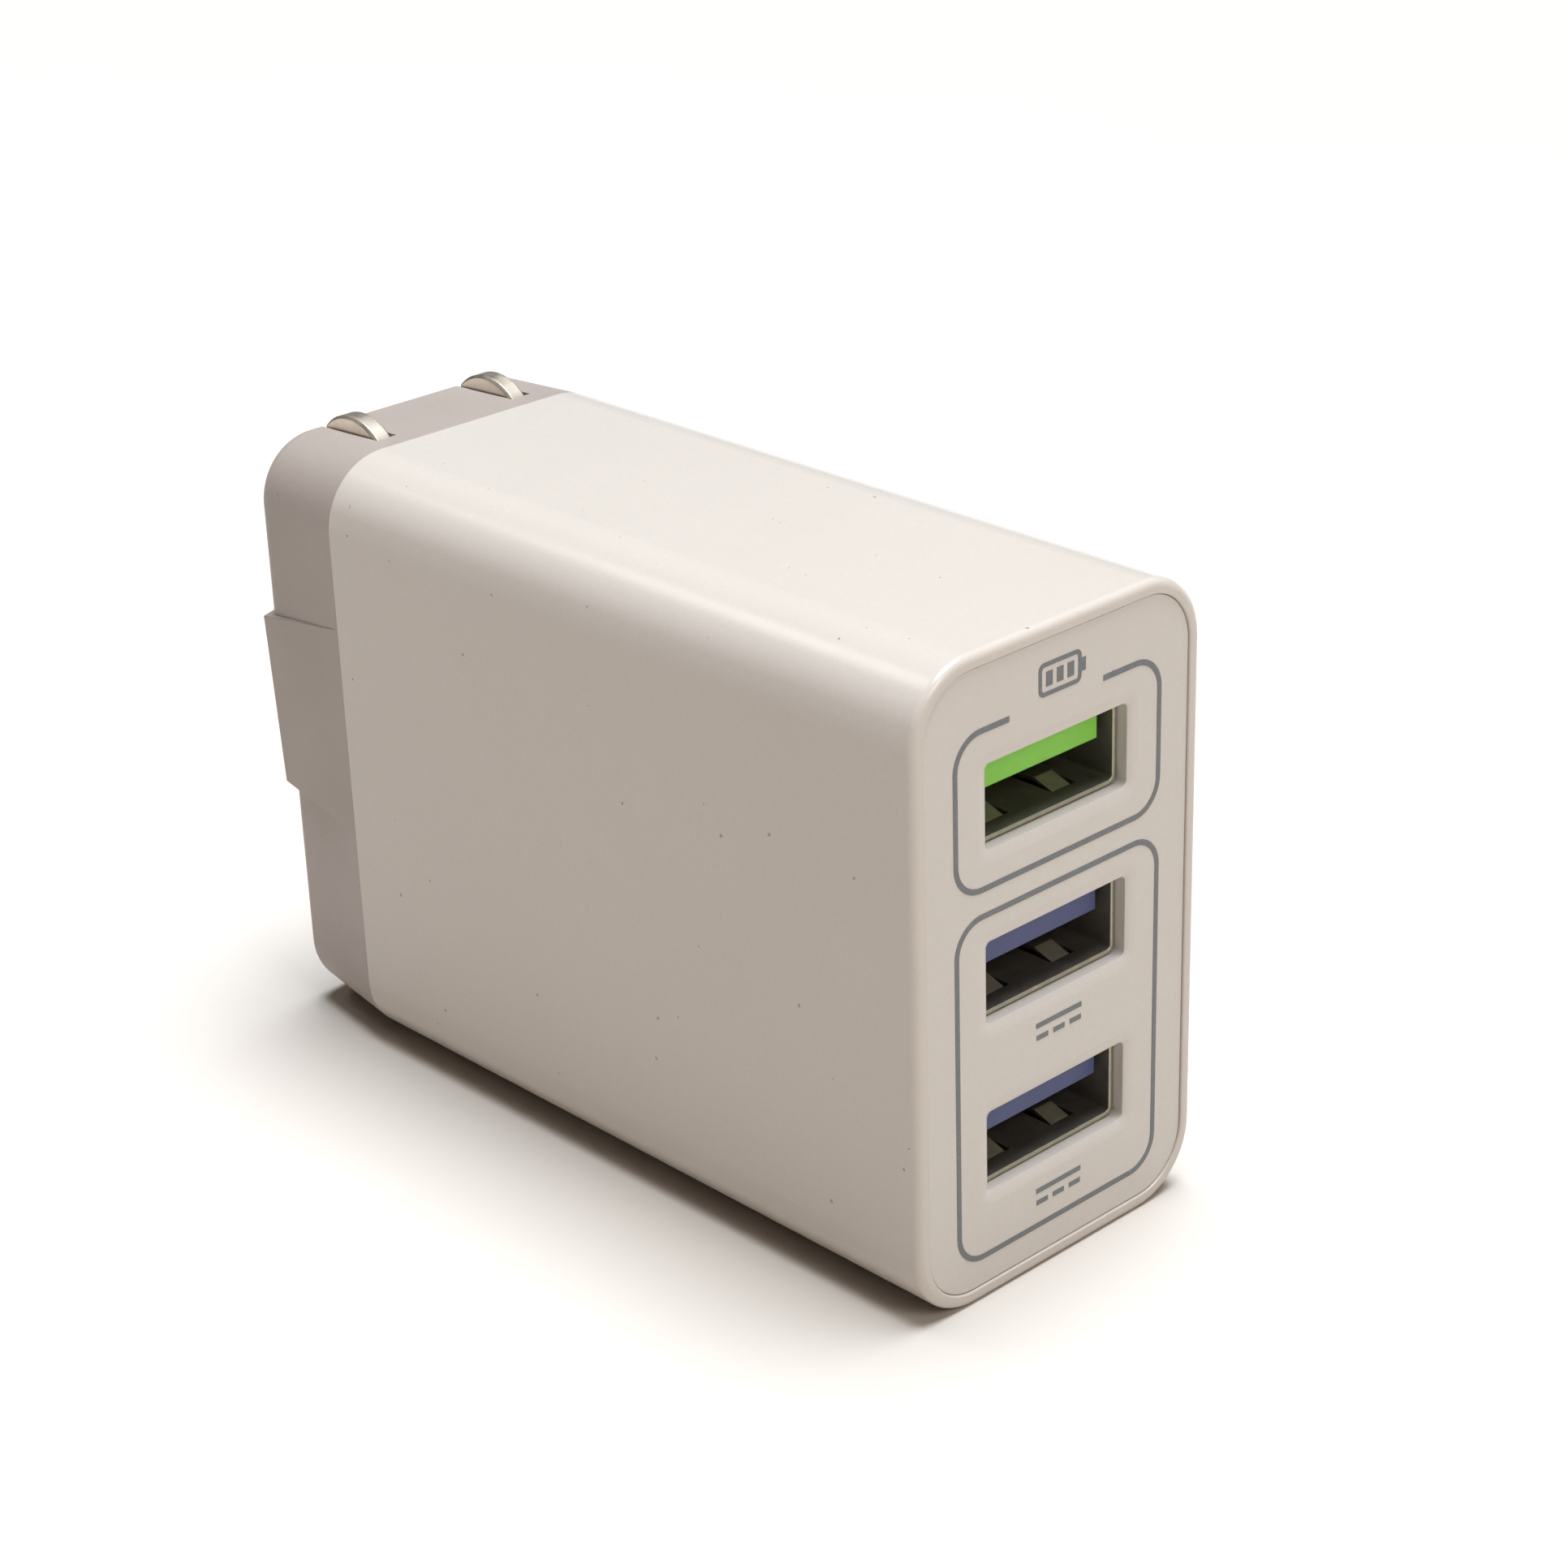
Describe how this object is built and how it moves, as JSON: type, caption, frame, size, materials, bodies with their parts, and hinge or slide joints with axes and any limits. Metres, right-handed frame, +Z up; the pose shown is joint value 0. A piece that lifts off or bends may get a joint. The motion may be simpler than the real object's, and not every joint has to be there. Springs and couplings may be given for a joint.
{
  "type": "usb wall charger",
  "caption": "Slim white wall charger with USB sockets on its narrow face and flat mains blades that fold up into its rear cover.",
  "frame": {"origin": "middle of the base, half way between the socket face and the wall face", "axes": "+Z up, -Y out of the socket face, +Y out of the wall face, +X to the right seen from the socket face"},
  "size_m": [0.027, 0.0678, 0.0473],
  "materials": {
    "white_plastic": "moulded white plastic with a soft gloss",
    "panel_plastic": "moulded white plastic, finely textured",
    "print_ink": "thin grey printing ink",
    "cover_plastic": "moulded off-white plastic, slightly greyer than the housing",
    "drum_plastic": "moulded off-white plastic",
    "inner_plastic": "moulded black plastic, glass filled",
    "nickel_plate": "brass with satin nickel plating",
    "shell_steel": "tinned sheet steel",
    "spring_bronze": "phosphor bronze",
    "spring_steel": "spring steel",
    "screw_steel": "zinc-plated steel",
    "contact_gold": "gold-flashed bronze",
    "green_tongue": "moulded bright green plastic",
    "blue_tongue": "moulded blue plastic",
    "lead_insulation": "red flexible insulation over stranded copper",
    "board_green": "glass-fibre circuit board with green solder mask",
    "ferrite": "dark grey sintered ferrite",
    "choke_enamel": "green-painted ferrite ring",
    "winding_tape": "yellow polyester tape over copper wire",
    "copper_wire": "enamelled copper wire",
    "capacitor_sleeve": "dark blue plastic sleeve over an aluminium can",
    "film_box": "yellow plastic case filled with resin",
    "disc_ceramic": "blue resin-dipped ceramic disc",
    "fuse_body": "moulded brown plastic",
    "chip_black": "moulded black epoxy",
    "sink_aluminium": "plain aluminium sheet",
    "insulation_film": "thin translucent polyester film"
  },
  "bodies": {
    "housing": {"body_shell": "white_plastic", "front_panel": "panel_plastic", "panel_print": "print_ink", "rear_cover": "cover_plastic", "drum_retainer": "inner_plastic", "retainer_screws": "screw_steel", "contact_spring_left": "spring_bronze", "contact_spring_right": "spring_bronze", "detent_spring": "spring_steel", "mains_leads": "lead_insulation", "port_board": "board_green", "link_pins": "contact_gold", "link_block": "inner_plastic", "main_board": "board_green", "transformer_core": "ferrite", "transformer_bobbin": "inner_plastic", "transformer_winding": "winding_tape", "transformer_foot": "inner_plastic", "input_capacitors": "capacitor_sleeve", "output_capacitors": "capacitor_sleeve", "suppression_capacitor": "film_box", "safety_capacitor": "disc_ceramic", "choke_core": "choke_enamel", "choke_windings": "copper_wire", "fuse": "fuse_body", "bridge_rectifier": "chip_black", "switch_transistor": "chip_black", "heat_sink": "sink_aluminium", "output_inductor": "ferrite", "controller_chips": "chip_black", "insulation_sheet": "insulation_film", "usb_shell_1": "shell_steel", "usb_contacts_1": "contact_gold", "usb_insulator_1": "green_tongue", "usb_shell_2": "shell_steel", "usb_contacts_2": "contact_gold", "usb_insulator_2": "blue_tongue", "usb_shell_3": "shell_steel", "usb_contacts_3": "contact_gold", "usb_insulator_3": "blue_tongue"},
    "plug": {"blade_left": "nickel_plate", "blade_right": "nickel_plate", "blade_drum": "drum_plastic"}
  },
  "joints": [
    {"name": "blade_fold", "type": "hinge", "parent": "housing", "child": "plug", "pos_m": [0, 0.02945, 0.0256], "axis": [-1, 0, 0], "range_deg": [0, 90]}
  ]
}
